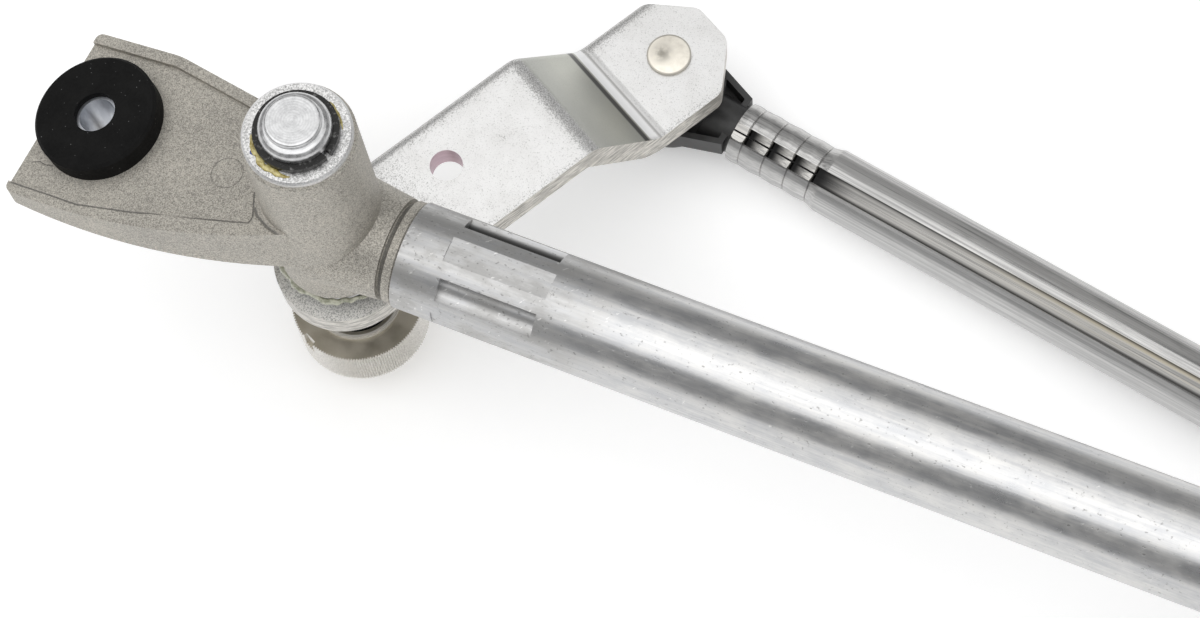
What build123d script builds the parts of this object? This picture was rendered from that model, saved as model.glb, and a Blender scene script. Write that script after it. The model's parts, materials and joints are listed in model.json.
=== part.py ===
from build123d import *

import math
import os

# Wiper linkage of a car: two pivots in die-cast housings, joined by a crimped frame tube,
# with their levers tied by a link rod and driven through a second, shorter rod.
# Millimetres. Z runs along the pivot shafts, from the wiper arm side at 0 to the inner side.
# The origin is the centre of the near drum's outer face, and X follows the tube's near run.

# Layout of the linkage, seen along -Z
pivot_distance = 560.0
link_azimuth = -10.0
lever_azimuth = 61.1
tube_bend_x = 300.0
tube_bend_radius = 90.0

# Pivot shaft and what it carries
shaft_radius = 6.0
shaft_end_radius = 4.65
shaft_end_rise = 2.7
shaft_end_land = 1.1
shaft_end_round = 0.5
shaft_end_cove = 1.5
shaft_chamfer = 0.8
shaft_cap_height = 3.6
bush_wall = 1.5
bush_length = 13.0
bush_inset = 0.6
running_clearance = 0.03
press_clearance = 0.01
axial_play = 0.1

# Serrated drum that the wiper arm is pressed on
drum_height = 11.0
drum_radius = 12.25
drum_teeth = 150
drum_tooth_depth = 0.42
drum_lead_height = 0.9
drum_lead_gap = 0.05
drum_floor = 2.6
drum_lip_radius = 8.1
drum_lip_width = 1.1
drum_lip_height = 1.0
drum_key_width = 2.4
drum_key_depth = 1.0
drum_key_height = 3.6
drum_key_azimuth = 245.0

# Lever
lever_width = 24.5
lever_thickness = 5.0
lever_length = 73.5
lever_gap = 14.9
lever_step = 15.2
lever_step_start = 47.5
lever_step_end = 61.5
lever_bend_radius = 4.0
lever_roll = 2.2
lever_tip_overhang = 10.6
lever_tip_corner = 8.0
lever_tip_round = 3.0
gauge_hole_radius = 3.0
gauge_hole_distance = 24.9
gauge_hole_offset = 2.3
drive_arm_length = 45.0
drive_arm_tip_radius = 11.0

# Ball studs and their sockets
stud_head_radius = 4.15
stud_head_height = 0.8
stud_crown = 0.25
stud_shank_radius = 3.6
stud_collar_radius = 5.4
stud_collar_height = 1.3
stud_neck_radius = 3.2
stud_drop = 10.9
ball_radius = 6.5
ball_clearance = 0.05
socket_radius = 9.9
socket_round = 5.5
socket_rim_radius = 10.6
socket_floor = 1.4
socket_rim_height = 6.2
socket_rim_drop = 2.3
socket_mouth_radius = 5.6
socket_lip_radius = 8.9
socket_neck_radius = 4.9
fan_cup_radius = 10.2
fan_end_radius = 5.75
fan_end_distance = 13.4
fan_length = 14.8
fan_low = -1.0
fan_height = 4.5
fan_wall = 1.2

# Rolled rods
rod_radius = 6.5
rod_wall = 1.3
rod_start = 15.7
rod_groove = 3.2
rod_groove_depth = 1.6
rod_groove_turn = 24.5
rod_fold = 1.1
rod_seam = 0.35
rod_seam_depth = 0.5
crimp_rings = 4
crimp_first = 2.7
crimp_pitch = 4.93
crimp_depth = 0.6
crimp_crown = 0.15
crimp_line = 0.4
crimp_line_depth = 0.25
crimp_ramp_rise = 0.85
crimp_shoulder = 2.2
crank_throw = 30.0
crank_angle = 20.0

# Upper and lower washers, rings and seals on the shaft
washer_radius = 9.1
washer_thickness = 1.15
washer_edge = 0.35
ring_height = 1.1
ring_width = 1.05
ring_groove_depth = 0.6
ring_split = 0.9
ring_split_azimuth = -17.0
thrust_washer_thickness = 1.6
thrust_washer_radius = 9.3
lower_seal_height = 2.9
lower_seal_wall = 2.6
boot_wall = 0.85

# Pivot housing: boss, collar and spigot
boss_length = 45.8
boss_bottom_radius = 10.2
boss_top_radius = 9.6
boss_chamfer = 1.0
tube_height = 9.7
collar_root_radius = 10.6
collar_root_rise = 1.3
collar_end_radius = 9.2
collar_groove_start = 12.7
collar_groove_width = 1.1
collar_groove_depth = 0.8
collar_edge = 0.3
collar_length = 15.5
spigot_length = 30.0
spigot_clearance = 0.1

# Pivot housing: flange with the mounting eye, seen along -Z
flange_tilt = 10.2
eye_x = -42.0
eye_height = 17.9
flange_left = -50.8
flange_left_skew = 2.2
flange_top = 15.6
flange_bottom = -17.0
flange_bend_x = -34.0
flange_bend_round = 14.0
flange_corner_round = 1.3
flange_neck_top = 8.7
flange_neck_bottom = -9.9
flange_neck_x = -1.0
flange_rim_height = 12.1
flange_bow = 4.0
flange_bow_share = 0.03
flange_bow_power = 1.5
flange_eye_gap = 1.5
flange_wall = 2.4
plate_thickness = 4.0
lip_height = 1.0
lip_width = 2.0
recess_end_x = -7.8
rib_thickness = 2.2
rib_spacing = 8.6

# Frame tube
tube_radius = 9.525
tube_wall = 1.5
stake_count = 4
stake_phase = 44.0
stake_start = 23.8
stake_length = 17.6
stake_radius = 2.6
stake_depth = 1.45
stake_wall = 1.3
stake_clearance = 0.15
stake_flat_depth = 0.3
stake_flat_run = 0.6

# Grommets and their sleeves
grommet_radius = 11.0
grommet_disc = 4.1
grommet_waist_wall = 3.6
grommet_mouth_radius = 3.7
grommet_mouth_depth = 1.3
grommet_edge = 0.5
sleeve_bore_radius = 3.2
sleeve_wall = 1.0

# Motor bracket
bracket_thickness = 2.5
bracket_x = 235.0
bracket_length = 84.0
motor_offset = 85.0
motor_pilot_radius = 14.0
motor_pitch_radius = 36.0
motor_hole_radius = 3.3
motor_holes = 3
bracket_margin = 11.0
bracket_rim = 6.0
bracket_lip = 9.0
bracket_bend_radius = 3.0
motor_hole_azimuth = 90.0
bracket_clearance = 0.05

# Levels along Z, stacked from the drum
lever_bottom = drum_height + lever_gap
lever_top = lever_bottom + lever_thickness
seal_bottom = lever_top + axial_play
thrust_bottom = seal_bottom + lower_seal_height + axial_play
boss_bottom = thrust_bottom + thrust_washer_thickness + axial_play
boss_top = boss_bottom + boss_length
washer_top = boss_top + washer_thickness
ring_bottom = washer_top + axial_play
shaft_top = ring_bottom + ring_height + shaft_cap_height
tube_z = boss_bottom + tube_height
eye_z = boss_bottom + eye_height
rim_z = boss_bottom + flange_rim_height
link_ball_z = lever_bottom - lever_step - stud_drop
drive_ball_z = lever_bottom - stud_drop

# Fits
bush_bore = shaft_radius + running_clearance
bush_radius = bush_bore + bush_wall
spigot_radius = tube_radius - tube_wall - spigot_clearance
sleeve_radius = sleeve_bore_radius + sleeve_wall
waist_radius = sleeve_radius + grommet_waist_wall
shaft_bore = shaft_radius + press_clearance
shank_bore = stud_shank_radius + press_clearance


def polar(radius, degrees):
    """Point at a distance and azimuth from the origin."""
    return Vector(radius * math.cos(math.radians(degrees)), radius * math.sin(math.radians(degrees)), 0)


# Plan points of the linkage
near_pivot = Vector(0, 0, 0)
far_pivot = near_pivot + polar(pivot_distance, link_azimuth)
far_run = math.degrees(math.atan2(far_pivot.Y, far_pivot.X - tube_bend_x))
near_stud = near_pivot + polar(lever_length, lever_azimuth)
far_stud = far_pivot + polar(lever_length, lever_azimuth)
drive_stud = far_pivot - polar(drive_arm_length, lever_azimuth)
motor_centre = Vector(bracket_x, -motor_offset, 0)
crank_pin = motor_centre + polar(crank_throw, crank_angle)
drive_rod_vector = crank_pin - drive_stud
drive_rod_azimuth = math.degrees(math.atan2(drive_rod_vector.Y, drive_rod_vector.X))
drive_rod_length = drive_rod_vector.length


def at(point, z=0.0, azimuth=0.0):
    """Location at a plan point and level, turned about Z."""
    return Location((point.X, point.Y, z), (0, 0, azimuth))


def spun(outline):
    """Solid of revolution about Z from a closed outline of (radius, height) edges."""
    return revolve(Plane.XZ * make_face(outline), axis=Axis.Z)


def turned(points):
    """Solid of revolution about Z from (radius, height) points."""
    return spun(Polyline(*points, close=True))


def disc(radius, bottom, top):
    """Plain cylinder on the Z axis between two levels."""
    return Pos(0, 0, bottom) * extrude(Circle(radius), amount=top - bottom)


def ring(outer, inner, bottom, top):
    """Plain ring on the Z axis between two levels."""
    return Pos(0, 0, bottom) * extrude(Circle(outer) - Circle(inner), amount=top - bottom)


def along_x(solid, z=0.0):
    """Turn a solid made along Z so that it lies along X at a level."""
    return Location((0, 0, z), (0, 90, 0)) * solid


def slab(size, bottom, thickness):
    """Broad square slab about the Z axis, for cutting at a level."""
    return Pos(0, 0, bottom + thickness / 2) * Box(size, size, thickness)


def serrated_drum():
    """Drum with axial teeth, a plain lead at its outer end and a raised lip at its inner face."""
    root = drum_radius - drum_tooth_depth
    step = 360.0 / drum_teeth
    outline = []
    for tooth in range(drum_teeth):
        outline.append(polar(drum_radius, tooth * step))
        outline.append(polar(root, (tooth + 0.5) * step))
    toothed = extrude(make_face(Polyline(*outline, close=True)), amount=drum_height - drum_lead_height)
    body = Pos(0, 0, drum_lead_height) * toothed
    lead = turned([
        (0, 0), (root - drum_lead_height, 0),
        (root - drum_lead_gap, drum_lead_height), (0, drum_lead_height),
    ])
    lip_top = drum_height + drum_lip_height
    lip = ring(drum_lip_radius, drum_lip_radius - drum_lip_width, drum_height, lip_top)
    bore = disc(shaft_bore, drum_floor, lip_top)
    key = Rot(0, 0, drum_key_azimuth) * Pos(drum_radius, 0, drum_height) * Box(
        2 * drum_key_depth, drum_key_width, 2 * drum_key_height
    )
    return body + lead + lip - bore - key


def pivot_shaft():
    """Shaft from the drum's floor to its turned-down inner end, with the retaining ring's groove."""
    groove_radius = shaft_radius - ring_groove_depth
    groove_bottom = ring_bottom - axial_play
    groove_top = ring_bottom + ring_height + axial_play
    foot = drum_floor + axial_play
    shoulder = shaft_top - shaft_end_rise
    neck = shaft_top - shaft_end_land
    corner = shaft_top - shaft_end_round
    crown = shaft_end_radius - shaft_end_round
    side = Polyline(
        (0, shaft_top), (0, foot), (shaft_radius - shaft_chamfer, foot),
        (shaft_radius, foot + shaft_chamfer), (shaft_radius, groove_bottom),
        (groove_radius, groove_bottom), (groove_radius, groove_top),
        (shaft_radius, groove_top), (shaft_radius, shoulder),
    )
    return spun([
        *side.edges(),
        RadiusArc((shaft_radius, shoulder), (shaft_end_radius, neck), -shaft_end_cove),
        Line((shaft_end_radius, neck), (shaft_end_radius, corner)),
        RadiusArc((shaft_end_radius, corner), (crown, shaft_top), -shaft_end_round),
        Line((crown, shaft_top), (0, shaft_top)),
    ])


def retaining_ring():
    """Split spring ring in the shaft's groove."""
    inner = shaft_radius - ring_groove_depth + press_clearance
    body = ring(inner + ring_width + ring_groove_depth, inner, ring_bottom, ring_bottom + ring_height)
    split = Pos(inner + ring_width, 0, ring_bottom) * Box(4 * ring_width, ring_split, 4 * ring_height)
    return body - Rot(0, 0, ring_split_azimuth) * split


def edged_washer(radius, bore, bottom, thickness):
    """Washer with a broken upper edge."""
    top = bottom + thickness
    return turned([
        (bore, bottom), (radius, bottom), (radius, top - washer_edge),
        (radius - washer_edge, top), (bore, top),
    ])


def arm_sheet(length, stepped):
    """Side profile of an arm in (along, height), and the line of its upper face."""
    end = length + lever_tip_overhang
    if not stepped:
        sheet = Pos(end / 2, lever_top - lever_thickness / 2) * Rectangle(end, lever_thickness)
        return sheet, Line((0, lever_top), (end, lever_top))
    low = lever_top - lever_step
    upper = FilletPolyline(
        (0, lever_top), (lever_step_start, lever_top), (lever_step_end, low), (end, low),
        radius=lever_bend_radius,
    )
    under = offset(upper, amount=lever_thickness, side=Side.RIGHT, closed=False)
    ends = [Line(upper @ 0, under @ 0), Line(upper @ 1, under @ 1)]
    return make_face([*upper.edges(), *under.edges(), *ends]), upper


def arm_plan(length, tip_half_width):
    """Plan outline of an arm, with cut and rounded corners at its tip."""
    half = lever_width / 2
    end = length + lever_tip_overhang
    corner = end - lever_tip_corner
    inset = tip_half_width - lever_tip_corner
    plan = make_face(Polyline(
        (0, -half), (corner, -tip_half_width), (end, -inset), (end, inset),
        (corner, tip_half_width), (0, half), close=True
    ))
    tip = plan.vertices().filter_by(lambda v: v.X > end / 2)
    return fillet(tip, radius=lever_tip_round)


def lever_arm(length, tip_half_width, stepped):
    """Arm along +X from the shaft: side profile swept across its width, cut to its plan outline."""
    half = lever_width / 2
    sheet, upper = arm_sheet(length, stepped)
    blank = Pos(0, half, 0) * extrude(Plane.XZ * sheet, amount=2 * lever_width)
    if stepped:
        rail = Pos(0, half, 0) * (Plane.XZ * upper)
        rolled = blank.edges().filter_by(lambda e: rail.distance_to(e @ 0.5) < press_clearance)
        blank = fillet(rolled, radius=lever_roll)
    low = lever_bottom - lever_step
    plan = extrude(arm_plan(length, tip_half_width), amount=lever_top - low)
    return blank & Pos(0, 0, low) * plan


def lever(stud_distance, second_arm):
    """Cranked lever with its shaft hole, stud hole and gauge hole; the far one has a second arm."""
    half = lever_width / 2
    solid = disc(half, lever_bottom, lever_top) + lever_arm(stud_distance, half, True)
    stud_hole = disc(shank_bore, lever_bottom - lever_step, lever_top)
    if second_arm:
        solid += Rot(0, 0, 180) * lever_arm(drive_arm_length, drive_arm_tip_radius, False)
        solid -= Pos(-drive_arm_length, 0, 0) * stud_hole
    solid -= disc(shaft_bore, lever_bottom, lever_top)
    solid -= Pos(stud_distance, 0, 0) * stud_hole
    gauge = Pos(gauge_hole_distance, gauge_hole_offset, 0)
    return solid - gauge * disc(gauge_hole_radius, lever_bottom, lever_top)


def ball_stud():
    """Riveted ball stud, with its ball centre at 0 and the lever's underside at stud_drop."""
    under = stud_drop
    over = stud_drop + lever_thickness
    foot = math.sqrt(ball_radius ** 2 - stud_neck_radius ** 2) - stud_head_height
    crown = over + stud_head_height
    rim = crown - stud_crown
    side = Polyline(
        (0, crown), (0, foot), (stud_neck_radius, foot), (stud_neck_radius, under - stud_collar_height),
        (stud_collar_radius, under - stud_collar_height), (stud_collar_radius, under),
        (stud_shank_radius, under), (stud_shank_radius, over), (stud_head_radius, over),
        (stud_head_radius, rim),
    )
    domed = ThreePointArc((stud_head_radius, rim), (0, crown), (-stud_head_radius, rim)).trim(0, 0.5)
    return Sphere(ball_radius) + spun([*side.edges(), domed])


def socket_cup():
    """Cup of a ball socket, with its round bottom and the flared dust rim about its mouth."""
    bottom = -ball_radius - ball_clearance - socket_floor
    rim = socket_rim_height
    mouth = rim - socket_rim_drop
    side = Polyline(
        (socket_radius, bottom + socket_round), (socket_radius, mouth), (socket_rim_radius, rim),
        (socket_lip_radius, rim), (socket_mouth_radius, mouth), (0, mouth), (0, bottom),
        (socket_radius - socket_round, bottom),
    )
    return spun([*side.edges(), RadiusArc(side @ 1, side @ 0, -socket_round)])


def socket_fan():
    """Open tray that joins the cup to the rod's end."""
    cup = Circle(fan_cup_radius)
    end = Pos(fan_end_distance, 0) * Circle(fan_end_radius)
    plan = make_hull([*cup.edges(), *end.edges()]) & Rectangle(2 * fan_length, 4 * fan_cup_radius)
    hollow = extrude(offset(plan, amount=-fan_wall), amount=fan_height)
    tray = extrude(plan, amount=fan_height) - Pos(0, 0, fan_wall) * hollow
    return Pos(0, 0, fan_low) * tray


def socket_tail():
    """Tail inside the rod's end, flattened where the rod's groove may lie on either side."""
    end = rod_start + crimp_first + crimp_rings * crimp_pitch
    radius = rod_radius - crimp_depth - rod_wall - press_clearance
    tail = along_x(disc(radius, rod_start - socket_floor, end))
    clear = rod_radius - rod_groove_depth - rod_fold - press_clearance
    for side in (-1, 1):
        tail -= Rot(side * rod_groove_turn, 0, 0) * slab(4 * end, clear, rod_radius)
    return tail


def rod_socket():
    """Plastic ball socket with its rod along +X: cup, tray, neck and tail."""
    neck = along_x(disc(socket_neck_radius, 0, rod_start - axial_play))
    moulding = socket_cup() + socket_fan() + neck + socket_tail()
    return moulding - Sphere(ball_radius + ball_clearance) - disc(socket_mouth_radius, 0, socket_rim_height)


def rod_half_profile(half_length):
    """Outer (radius, along) points of a rod's half, with the ringed crimp at its socket end."""
    crimped = rod_radius - crimp_depth
    crown = crimped + crimp_crown
    valley = crimped - crimp_line_depth
    line = rod_start + crimp_first
    points = [(crimped, rod_start), (crown, (rod_start + line) / 2)]
    for ring_line in range(crimp_rings):
        along = line + ring_line * crimp_pitch
        points += [(crimped, along - crimp_line / 2), (valley, along), (crimped, along + crimp_line / 2)]
        points.append((crown, along + crimp_pitch / 2))
    shoulder = line + (crimp_rings - 1) * crimp_pitch + crimp_shoulder
    return points[:-1] + [(rod_radius, shoulder), (rod_radius, half_length)]


def groove_floor(half_length):
    """Floor of the groove along a rod's half in (along, height): a ramp up to each crimp ring."""
    deep = rod_radius - rod_groove_depth
    high = deep + crimp_ramp_rise
    points = [(rod_start, high)]
    for ring_line in range(crimp_rings):
        along = rod_start + crimp_first + ring_line * crimp_pitch
        points += [(along, high), (along + crimp_line, deep)]
    return points + [(half_length, deep)]


def rolled_half(half_length):
    """Half of a rolled rod along +X, with the fold under its groove turned up to +Z."""
    outer = rod_half_profile(half_length)
    solid = along_x(turned([*outer, (0, half_length), (0, rod_start)]))
    neck = rod_radius - crimp_depth - rod_wall
    bore = rod_radius - rod_wall
    shoulder = outer[-2][1]
    hollow = along_x(turned([
        (0, rod_start), (neck, rod_start), (neck, shoulder - crimp_shoulder), (bore, shoulder),
        (bore, half_length), (0, half_length),
    ]))
    deep = rod_radius - rod_groove_depth
    middle = half_length / 2
    fold = Pos(middle, 0, rod_radius + deep - rod_fold) * Box(
        half_length, rod_groove + 2 * rod_fold, 2 * rod_radius
    )
    floor = groove_floor(half_length)
    above = Polyline(*floor, (half_length, 2 * rod_radius), (rod_start, 2 * rod_radius), close=True)
    groove = extrude(Plane.XZ * make_face(above), amount=rod_groove / 2, both=True)
    seam = Pos(middle, 0, rod_radius + deep - rod_seam_depth) * Box(half_length, rod_seam, 2 * rod_radius)
    return solid - (hollow - fold) - groove - seam


def rolled_rod(length):
    """Rolled tube along +X between two sockets that lie length apart, with its groove on one side."""
    half = rolled_half(length / 2)
    return Rot(rod_groove_turn, 0, 0) * (half + Pos(length, 0, 0) * mirror(half, about=Plane.YZ))


def around_tube(first, mirrored):
    """Turns about X from the tube's top to evenly spaced places, the first at an angle from +Y."""
    side = -1 if mirrored else 1
    angles = [first - 90 + place * 360.0 / stake_count for place in range(stake_count)]
    return [Rot(side * angle, 0, 0) for angle in angles]


def stakes(growth, mirrored=False):
    """Round tools that press the stakes into a tube along X, grown by an amount."""
    tool = along_x(
        disc(stake_radius + growth, stake_start - growth, stake_start + stake_length + growth),
        tube_radius - stake_depth + stake_radius,
    )
    return [turn * tool for turn in around_tube(stake_phase, mirrored)]


def stake_flats(mirrored):
    """Flats pressed into the tube between its stakes."""
    flat = Pos(stake_start + stake_length / 2, 0, tube_radius) * Box(
        stake_length + 2 * stake_flat_run, 2 * tube_radius, 2 * stake_flat_depth
    )
    return [turn * flat for turn in around_tube(stake_phase + 180.0 / stake_count, mirrored)]


def flange_outline(inset, left_extension, right_x):
    """Plan outline of the flange, drawn in by inset along its upper and lower edges."""
    left = flange_left - left_extension
    top = flange_top - inset
    bottom = flange_bottom + inset
    share = (right_x - flange_bend_x) / (flange_neck_x - flange_bend_x)
    neck_rise = flange_neck_bottom - flange_bottom
    corner = (flange_bend_x, top)
    upper_end = (right_x, top + share * (flange_neck_top - inset - top))
    lower_end = (right_x, bottom + share ** flange_bow_power * neck_rise)
    lower_mid = ((right_x + left) / 2 - flange_bow, bottom + flange_bow_share * neck_rise)
    return make_face([
        Line((left, top), corner),
        Line(corner, upper_end),
        Line(upper_end, lower_end),
        ThreePointArc(lower_end, lower_mid, (left - flange_left_skew, bottom)),
        Line((left - flange_left_skew, bottom), (left, top)),
    ])


def spigot():
    """Collar and spigot along +X at the tube's level; the collar's underside runs level."""
    groove_end = collar_groove_start + collar_groove_width
    groove_radius = collar_end_radius - collar_groove_depth
    spigot_end = collar_length + spigot_length
    cone = loft([
        Plane((0, 0, tube_z + collar_root_rise), z_dir=(1, 0, 0)) * Circle(collar_root_radius),
        Plane((collar_groove_start, 0, tube_z), z_dir=(1, 0, 0)) * Circle(collar_end_radius),
    ], ruled=True)
    straight = along_x(turned([
        (0, 0), (groove_radius, 0), (groove_radius, groove_end - collar_edge),
        (collar_end_radius, groove_end), (collar_end_radius, collar_length - collar_edge),
        (collar_end_radius - collar_edge, collar_length), (spigot_radius, collar_length),
        (spigot_radius, spigot_end - boss_chamfer), (spigot_radius - boss_chamfer, spigot_end),
        (0, spigot_end),
    ]), tube_z)
    for tool in stakes(stake_wall + stake_clearance):
        straight -= Pos(0, 0, tube_z) * tool
    return cone + straight - slab(4 * spigot_end, boss_bottom - tube_radius, tube_radius)


def flange(eye):
    """Tilted mounting flange along -X: plate with raised lips, side walls and ribs under it."""
    size = -6 * flange_left
    above_lip = eye * slab(size, lip_height, -flange_left)
    above_plate = eye * slab(size, 0, -flange_left)
    under_plate = eye * slab(size, -plate_thickness + flange_left, -flange_left)
    outline = flange_outline(0, 0, flange_neck_x)
    ends = outline.vertices().filter_by(lambda v: v.X < flange_left + flange_corner_round)
    outline = fillet(ends, radius=flange_corner_round)
    bend = outline.vertices().filter_by(lambda v: abs(v.X - flange_bend_x) < flange_corner_round)
    outline = fillet(bend, radius=flange_bend_round)
    solid = Pos(0, 0, rim_z) * extrude(outline, amount=-flange_left) - above_lip
    recess = extrude(flange_outline(lip_width, grommet_radius, recess_end_x), amount=size) & above_plate
    pocket = extrude(flange_outline(flange_wall, grommet_radius, recess_end_x), amount=size) & under_plate
    solid = solid - recess - pocket
    rib_start = eye_x + grommet_radius + flange_eye_gap
    rib_middle = (rib_start + recess_end_x) / 2
    below_plate = Pos(0, 0, rim_z) * extrude(outline, amount=-flange_left) - above_plate
    for side in (-1, 1):
        rib = Pos(rib_middle, side * rib_spacing / 2, rim_z) * Box(
            recess_end_x - rib_start, rib_thickness, size
        )
        solid += rib & below_plate
    return solid


def housing():
    """Die-cast pivot housing: boss about Z, spigot along +X, tilted mounting flange along -X."""
    boss = turned([
        (0, boss_bottom), (boss_bottom_radius - boss_chamfer, boss_bottom),
        (boss_bottom_radius, boss_bottom + boss_chamfer), (boss_top_radius, boss_top - washer_edge),
        (boss_top_radius - washer_edge, boss_top), (0, boss_top),
    ])
    eye = Location((eye_x, 0, eye_z), (0, -flange_tilt, 0))
    body = boss + spigot() + flange(eye)
    body -= eye * disc(waist_radius + press_clearance, -2 * plate_thickness, 2 * plate_thickness)
    return body - disc(bush_radius + press_clearance, boss_bottom, boss_top)


def grommet():
    """Rubber grommet on its eye: two discs and a waist, with a lipped hole for the sleeve."""
    top = grommet_disc
    bottom = -plate_thickness - grommet_disc
    edge = grommet_edge
    bore = sleeve_radius + press_clearance
    return turned([
        (bore, bottom), (grommet_radius - edge, bottom), (grommet_radius, bottom + edge),
        (grommet_radius, -plate_thickness - press_clearance),
        (waist_radius, -plate_thickness - press_clearance),
        (waist_radius, press_clearance), (grommet_radius, press_clearance),
        (grommet_radius, top - edge), (grommet_radius - edge, top), (grommet_mouth_radius, top),
        (grommet_mouth_radius, top - grommet_mouth_depth), (bore, top - grommet_mouth_depth),
    ])


def grommet_sleeve():
    """Steel sleeve inside the grommet, for the mounting bolt."""
    top = grommet_disc - grommet_mouth_depth - press_clearance
    return ring(sleeve_radius, sleeve_bore_radius, -plate_thickness - grommet_disc, top)


def bush(bottom):
    """Sintered bush in the boss."""
    return ring(bush_radius, bush_bore, bottom, bottom + bush_length)


def frame_tube():
    """Frame tube along its bent path, crimped and staked onto both spigots."""
    start = Vector(collar_length + axial_play, 0, tube_z)
    corner = Vector(tube_bend_x, 0, tube_z)
    end = far_pivot + Vector(0, 0, tube_z) - polar(collar_length + axial_play, far_run)
    path = FilletPolyline(start, corner, end, radius=tube_bend_radius)
    section = Circle(tube_radius) - Circle(tube_radius - tube_wall)
    tube = sweep(Plane(origin=path @ 0, z_dir=path % 0) * section, path=path)
    core = along_x(disc(tube_radius - tube_wall / 2, 0, 2 * stake_start + stake_length))
    near_end = at(near_pivot, tube_z)
    far_end = at(far_pivot, tube_z, far_run + 180)
    for place, mirrored in ((near_end, False), (far_end, True)):
        for tool in stakes(stake_wall, mirrored):
            tube += place * (tool & core)
        for tool in stakes(0, mirrored) + stake_flats(mirrored):
            tube -= place * tool
    return tube


def bracket_section():
    """Section of the bracket in (across, height): arch over the tube, plate and lip."""
    inner = tube_radius + bracket_clearance
    outer = inner + bracket_thickness
    reach = motor_offset + motor_pitch_radius + bracket_margin
    arch = (Circle(outer) - Circle(inner)) & Pos(0, outer) * Rectangle(4 * outer, 2 * outer)
    plate = Pos(-(reach + inner) / 2, bracket_thickness / 2) * Rectangle(reach - inner, bracket_thickness)
    lip = Pos(inner + bracket_lip / 2, bracket_thickness / 2) * Rectangle(bracket_lip, bracket_thickness)
    section = arch + plate + lip
    bends = section.vertices().filter_by(
        lambda v: abs(v.Y - bracket_thickness) < press_clearance
        and abs(abs(v.X) - outer) < bracket_thickness / 2
    )
    return fillet(bends, radius=bracket_bend_radius)


def motor_bracket():
    """Pressed plate with a saddle over the tube, a turned-up rim and the motor's holes."""
    outer = tube_radius + bracket_clearance + bracket_thickness
    reach = motor_offset + motor_pitch_radius + bracket_margin
    sheet = extrude(Plane.YZ * bracket_section(), amount=bracket_length / 2, both=True)
    pad = Pos(0, -motor_offset) * Circle(motor_pitch_radius + bracket_margin)
    saddle = Pos(0, bracket_lip - bracket_length / 4) * Rectangle(
        bracket_length, bracket_length / 2 + bracket_lip
    )
    plan = make_hull([*pad.edges(), *saddle.edges()])
    body = sheet & extrude(plan, amount=2 * outer)
    rim_face = plan - offset(plan, amount=-bracket_thickness)
    rim_face &= Pos(0, -outer - bracket_bend_radius - reach) * Rectangle(2 * reach, 2 * reach)
    body += extrude(rim_face, amount=bracket_rim)
    centre = Pos(0, -motor_offset)
    body -= centre * disc(motor_pilot_radius, 0, bracket_rim)
    for number in range(motor_holes):
        turn = Rot(0, 0, motor_hole_azimuth + number * 360.0 / motor_holes)
        body -= centre * turn * Pos(motor_pitch_radius, 0) * disc(motor_hole_radius, 0, bracket_rim)
    return Pos(bracket_x, 0, tube_z) * body


def pivot_pieces(prefix, place, mirrored_housing, second_arm, housing_turn, stud_places):
    """All pieces of one pivot, each under its node's name."""
    seat = at(place)
    cast = housing()
    eye = Location((eye_x, 0, eye_z), (0, -flange_tilt, 0))
    if mirrored_housing:
        cast = mirror(cast, about=Plane.XZ)
    turn = at(place, 0, housing_turn)
    low = boss_bottom + bush_inset
    high = boss_top - bush_inset - bush_length
    pieces = {
        "housing": turn * cast,
        "grommet": turn * eye * grommet(),
        "grommet_sleeve": turn * eye * grommet_sleeve(),
        "lower_bush": seat * bush(low),
        "upper_bush": seat * bush(high),
        "upper_washer": seat * edged_washer(washer_radius, bush_bore, boss_top, washer_thickness),
        "thrust_washer": seat * edged_washer(
            thrust_washer_radius, bush_bore, thrust_bottom, thrust_washer_thickness
        ),
        "lower_seal": seat * ring(
            shaft_bore + lower_seal_wall, shaft_bore, seal_bottom, seal_bottom + lower_seal_height
        ),
        "shaft": seat * pivot_shaft(),
        "retaining_ring": seat * retaining_ring(),
        "shaft_boot": seat * ring(
            shaft_bore + boot_wall, shaft_bore, drum_height + axial_play, lever_bottom - axial_play
        ),
        "serrated_drum": seat * serrated_drum(),
        "lever": at(place, 0, lever_azimuth) * lever(lever_length, second_arm),
    }
    for name, (point, level) in stud_places.items():
        pieces[name] = at(point, level) * ball_stud()
    return {f"{prefix}_{name}": solid for name, solid in pieces.items()}


def rod_pieces(prefix, start, end, level, start_name, end_name):
    """A rolled rod with its two sockets, from one plan point to another."""
    run = end - start
    azimuth = math.degrees(math.atan2(run.Y, run.X))
    place = at(start, level, azimuth)
    return {
        f"{prefix}_tube": place * rolled_rod(run.length),
        start_name: place * rod_socket(),
        end_name: at(end, level, azimuth + 180) * rod_socket(),
    }


nodes = {}
nodes.update(pivot_pieces("near", near_pivot, False, False, 0, {"link_stud": (near_stud, link_ball_z)}))
nodes.update(pivot_pieces("far", far_pivot, True, True, far_run + 180, {
    "link_stud": (far_stud, link_ball_z),
    "drive_stud": (drive_stud, drive_ball_z),
}))
nodes["frame_tube"] = frame_tube()
nodes["motor_bracket"] = motor_bracket()
nodes.update(rod_pieces(
    "link_rod", near_stud, far_stud, link_ball_z, "near_rod_socket", "far_rod_socket"
))
nodes.update(rod_pieces(
    "drive_rod", drive_stud, crank_pin, drive_ball_z, "drive_rod_socket", "crank_socket"
))

os.makedirs("parts", exist_ok=True)
for name, solid in nodes.items():
    export_step(solid, f"parts/{name}.step")

print("far pivot", far_pivot, "far run", round(far_run, 3))
print("drive rod", round(drive_rod_length, 3), "at", round(drive_rod_azimuth, 3))
print("near stud", near_stud, "far stud", far_stud)
print("drive stud", drive_stud, "crank pin", crank_pin)
print("levels: boss", boss_bottom, boss_top, "tube", tube_z)
print("levels: link ball", link_ball_z, "drive ball", drive_ball_z)
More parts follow.
